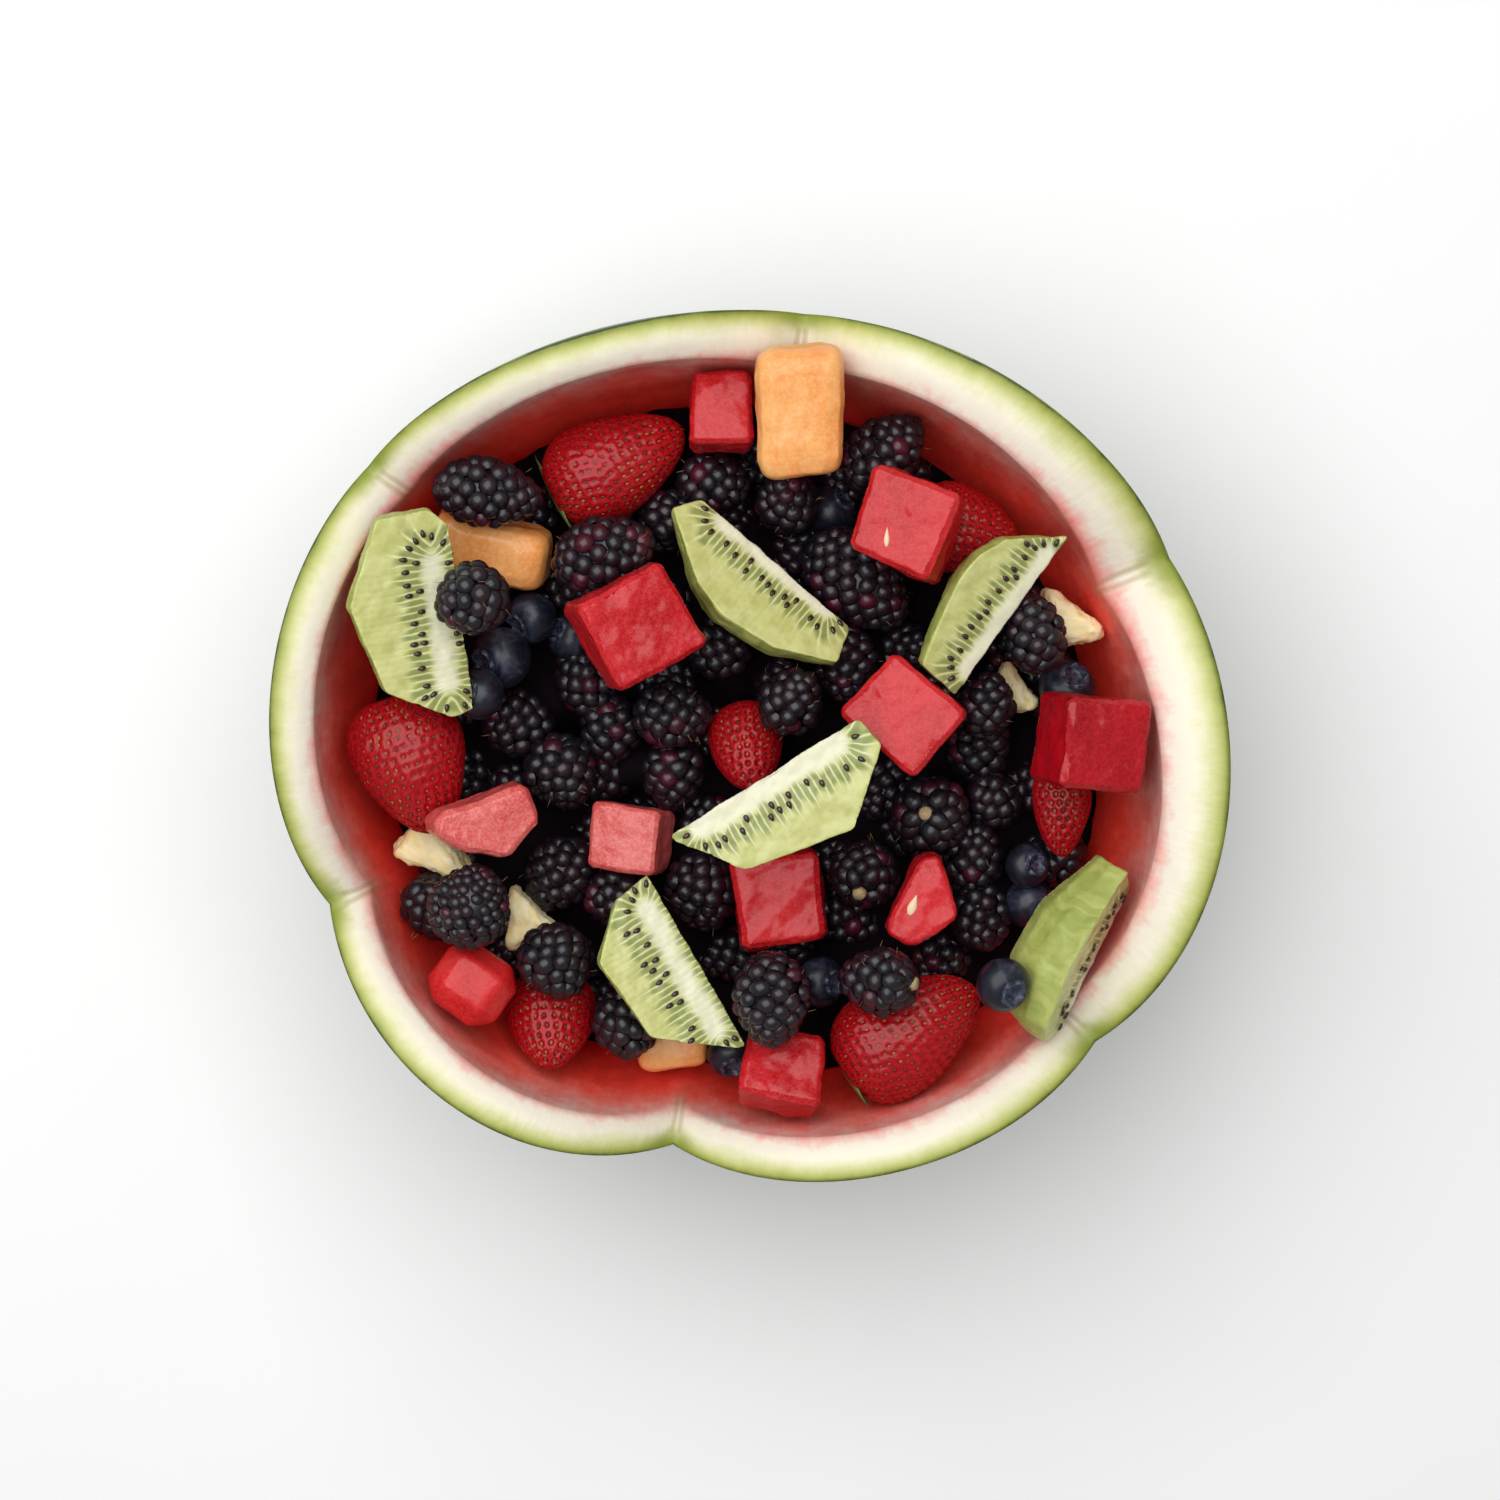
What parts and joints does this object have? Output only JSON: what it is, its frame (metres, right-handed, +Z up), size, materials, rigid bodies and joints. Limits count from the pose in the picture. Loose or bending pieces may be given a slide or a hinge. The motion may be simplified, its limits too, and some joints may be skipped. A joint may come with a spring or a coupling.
{
  "type": "fruit salad in a carved melon bowl",
  "caption": "Mixed berries, melon cubes, kiwi wedges and strawberries heaped in a bowl carved from half a watermelon with a petal-shaped rim.",
  "frame": {"origin": "on the table under the middle of the bowl", "axes": "+Z up; +X to the right and +Y away as the bowl is seen from its front, +X along its longest extent"},
  "size_m": [0.2656, 0.2424, 0.1365],
  "materials": {
    "melon_bowl": "satin: cut melon rind, cream with a pink inner edge and a green skin",
    "fruit_heap": "glossy near-black berries",
    "bramble": "glossy near-black, a few drupelets maroon",
    "blueberry": "dark blue with a dull greyish bloom",
    "melon_cube": "moist red melon flesh, grainy",
    "kiwi_wedge": "moist green flesh with a pale core and dark seeds",
    "strawberry": "glossy deep red with seeds in dimples",
    "cantaloupe": "moist orange melon flesh",
    "pineapple": "moist pale yellow flesh, fibrous"
  },
  "bodies": {
    "root": {"melon_bowl": "melon_bowl", "fruit_heap": "fruit_heap", "bramble_01": "bramble", "bramble_02": "bramble", "bramble_03": "bramble", "bramble_04": "bramble", "bramble_05": "bramble", "bramble_06": "bramble", "bramble_07": "bramble", "bramble_08": "bramble", "bramble_09": "bramble", "bramble_10": "bramble", "bramble_11": "bramble", "bramble_12": "bramble", "bramble_13": "bramble", "bramble_14": "bramble", "bramble_15": "bramble", "bramble_16": "bramble", "bramble_17": "bramble", "bramble_18": "bramble", "bramble_19": "bramble", "bramble_20": "bramble", "blueberry_01": "blueberry", "blueberry_02": "blueberry", "blueberry_03": "blueberry", "blueberry_04": "blueberry", "blueberry_05": "blueberry", "blueberry_06": "blueberry", "blueberry_07": "blueberry", "melon_cube_01": "melon_cube", "melon_cube_02": "melon_cube", "melon_cube_03": "melon_cube", "melon_cube_04": "melon_cube", "melon_cube_05": "melon_cube", "melon_cube_06": "melon_cube", "melon_cube_07": "melon_cube", "melon_cube_08": "melon_cube", "melon_cube_09": "melon_cube", "melon_cube_10": "melon_cube", "melon_cube_11": "melon_cube", "kiwi_wedge_01": "kiwi_wedge", "kiwi_wedge_02": "kiwi_wedge", "kiwi_wedge_03": "kiwi_wedge", "kiwi_wedge_04": "kiwi_wedge", "kiwi_wedge_05": "kiwi_wedge", "kiwi_wedge_06": "kiwi_wedge", "strawberry_01": "strawberry", "strawberry_02": "strawberry", "strawberry_03": "strawberry", "strawberry_04": "strawberry", "strawberry_05": "strawberry", "strawberry_06": "strawberry", "strawberry_07": "strawberry", "cantaloupe_01": "cantaloupe", "cantaloupe_02": "cantaloupe", "cantaloupe_03": "cantaloupe", "pineapple_01": "pineapple", "pineapple_02": "pineapple", "pineapple_03": "pineapple", "pineapple_04": "pineapple"}
  },
  "joints": []
}
